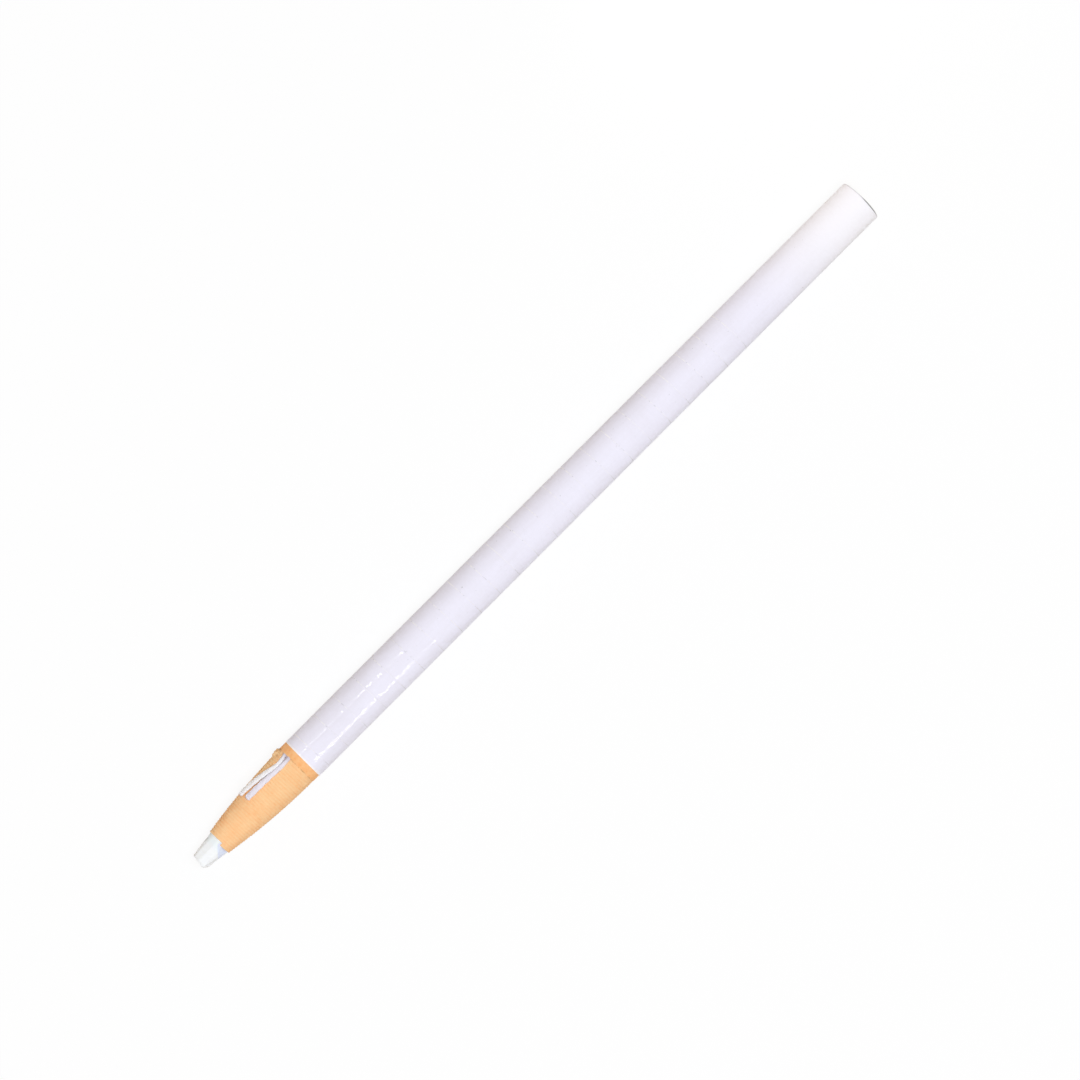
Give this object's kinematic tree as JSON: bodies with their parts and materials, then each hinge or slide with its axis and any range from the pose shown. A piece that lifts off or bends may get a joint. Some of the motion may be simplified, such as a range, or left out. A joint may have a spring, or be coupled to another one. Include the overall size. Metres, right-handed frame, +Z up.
{
  "type": "china marker",
  "caption": "Slim round grease pencil: a white wax core in a wound kraft-paper jacket under a white wrapper, scored into bands that unwind, with a tapered nose and a pull string.",
  "frame": {"origin": "centre of the bounding box's bottom face, under the middle of the marker's length", "axes": "+X along the barrel from the writing tip to the butt, +Z up, +Y the side the pull string lies on"},
  "size_m": [0.165, 0.0084, 0.0084],
  "materials": {
    "wax": "dull waxy white",
    "kraft_paper": "matt tan kraft",
    "white_paper": "satin coated",
    "string": "matt cotton"
  },
  "bodies": {
    "core": {"wax_core": "wax", "butt_winding": "kraft_paper", "butt_wrapper": "white_paper", "near_strand_run": "string", "far_strand_run": "string"},
    "band_01": {"peel_band_01": "kraft_paper", "band_wrapper_01": "white_paper"},
    "band_02": {"peel_band_02": "kraft_paper", "band_wrapper_02": "white_paper"},
    "band_03": {"peel_band_03": "kraft_paper", "band_wrapper_03": "white_paper"},
    "band_04": {"peel_band_04": "kraft_paper", "band_wrapper_04": "white_paper"},
    "band_05": {"peel_band_05": "kraft_paper", "band_wrapper_05": "white_paper"},
    "band_06": {"peel_band_06": "kraft_paper", "band_wrapper_06": "white_paper"},
    "band_07": {"peel_band_07": "kraft_paper", "band_wrapper_07": "white_paper"},
    "band_08": {"peel_band_08": "kraft_paper", "band_wrapper_08": "white_paper"},
    "band_09": {"peel_band_09": "kraft_paper", "band_wrapper_09": "white_paper"},
    "band_10": {"peel_band_10": "kraft_paper", "band_wrapper_10": "white_paper"},
    "band_11": {"peel_band_11": "kraft_paper", "band_wrapper_11": "white_paper"},
    "band_12": {"peel_band_12": "kraft_paper", "band_wrapper_12": "white_paper"},
    "band_13": {"peel_band_13": "kraft_paper", "band_wrapper_13": "white_paper"},
    "band_14": {"peel_band_14": "kraft_paper", "band_wrapper_14": "white_paper"},
    "band_15": {"peel_band_15": "kraft_paper", "band_wrapper_15": "white_paper"},
    "band_16": {"peel_band_16": "kraft_paper", "band_wrapper_16": "white_paper"},
    "band_17": {"peel_band_17": "kraft_paper", "band_wrapper_17": "white_paper"},
    "band_18": {"peel_band_18": "kraft_paper", "band_wrapper_18": "white_paper"},
    "band_19": {"peel_band_19": "kraft_paper", "band_wrapper_19": "white_paper"},
    "band_20": {"peel_band_20": "kraft_paper", "band_wrapper_20": "white_paper"},
    "band_21": {"peel_band_21": "kraft_paper", "band_wrapper_21": "white_paper"},
    "band_22": {"peel_band_22": "kraft_paper", "band_wrapper_22": "white_paper"},
    "nose": {"nose_winding": "kraft_paper", "nose_wrapper": "white_paper"},
    "string_tail": {"near_strand_tail": "string", "far_strand_tail": "string"}
  },
  "joints": [
    {"name": "band_22_off", "type": "slide", "parent": "core", "child": "band_22", "axis": [-1, 0, 0], "range_m": [0, 0.1339]},
    {"name": "band_21_off", "type": "slide", "parent": "band_22", "child": "band_21", "axis": [-1, 0, 0], "range_m": [0, 0.1292]},
    {"name": "band_20_off", "type": "slide", "parent": "band_21", "child": "band_20", "axis": [-1, 0, 0], "range_m": [0, 0.1245]},
    {"name": "band_19_off", "type": "slide", "parent": "band_20", "child": "band_19", "axis": [-1, 0, 0], "range_m": [0, 0.1198]},
    {"name": "band_18_off", "type": "slide", "parent": "band_19", "child": "band_18", "axis": [-1, 0, 0], "range_m": [0, 0.1151]},
    {"name": "band_17_off", "type": "slide", "parent": "band_18", "child": "band_17", "axis": [-1, 0, 0], "range_m": [0, 0.1103]},
    {"name": "band_16_off", "type": "slide", "parent": "band_17", "child": "band_16", "axis": [-1, 0, 0], "range_m": [0, 0.1056]},
    {"name": "band_15_off", "type": "slide", "parent": "band_16", "child": "band_15", "axis": [-1, 0, 0], "range_m": [0, 0.1009]},
    {"name": "band_14_off", "type": "slide", "parent": "band_15", "child": "band_14", "axis": [-1, 0, 0], "range_m": [0, 0.0962]},
    {"name": "band_13_off", "type": "slide", "parent": "band_14", "child": "band_13", "axis": [-1, 0, 0], "range_m": [0, 0.0915]},
    {"name": "band_12_off", "type": "slide", "parent": "band_13", "child": "band_12", "axis": [-1, 0, 0], "range_m": [0, 0.0867]},
    {"name": "band_11_off", "type": "slide", "parent": "band_12", "child": "band_11", "axis": [-1, 0, 0], "range_m": [0, 0.082]},
    {"name": "band_10_off", "type": "slide", "parent": "band_11", "child": "band_10", "axis": [-1, 0, 0], "range_m": [0, 0.0773]},
    {"name": "band_09_off", "type": "slide", "parent": "band_10", "child": "band_09", "axis": [-1, 0, 0], "range_m": [0, 0.0726]},
    {"name": "band_08_off", "type": "slide", "parent": "band_09", "child": "band_08", "axis": [-1, 0, 0], "range_m": [0, 0.0679]},
    {"name": "band_07_off", "type": "slide", "parent": "band_08", "child": "band_07", "axis": [-1, 0, 0], "range_m": [0, 0.0631]},
    {"name": "band_06_off", "type": "slide", "parent": "band_07", "child": "band_06", "axis": [-1, 0, 0], "range_m": [0, 0.0584]},
    {"name": "band_05_off", "type": "slide", "parent": "band_06", "child": "band_05", "axis": [-1, 0, 0], "range_m": [0, 0.0537]},
    {"name": "band_04_off", "type": "slide", "parent": "band_05", "child": "band_04", "axis": [-1, 0, 0], "range_m": [0, 0.049]},
    {"name": "band_03_off", "type": "slide", "parent": "band_04", "child": "band_03", "axis": [-1, 0, 0], "range_m": [0, 0.0443]},
    {"name": "band_02_off", "type": "slide", "parent": "band_03", "child": "band_02", "axis": [-1, 0, 0], "range_m": [0, 0.0395]},
    {"name": "band_01_off", "type": "slide", "parent": "band_02", "child": "band_01", "axis": [-1, 0, 0], "range_m": [0, 0.0348]},
    {"name": "nose_off", "type": "slide", "parent": "band_01", "child": "nose", "axis": [-1, 0, 0], "range_m": [0, 0.0301]},
    {"name": "string_lift", "type": "hinge", "parent": "nose", "child": "string_tail", "pos_m": [-0.05924, 0.00203, 0.00704], "axis": [0, 0.8141, -0.5807], "range_deg": [0, 120]}
  ]
}
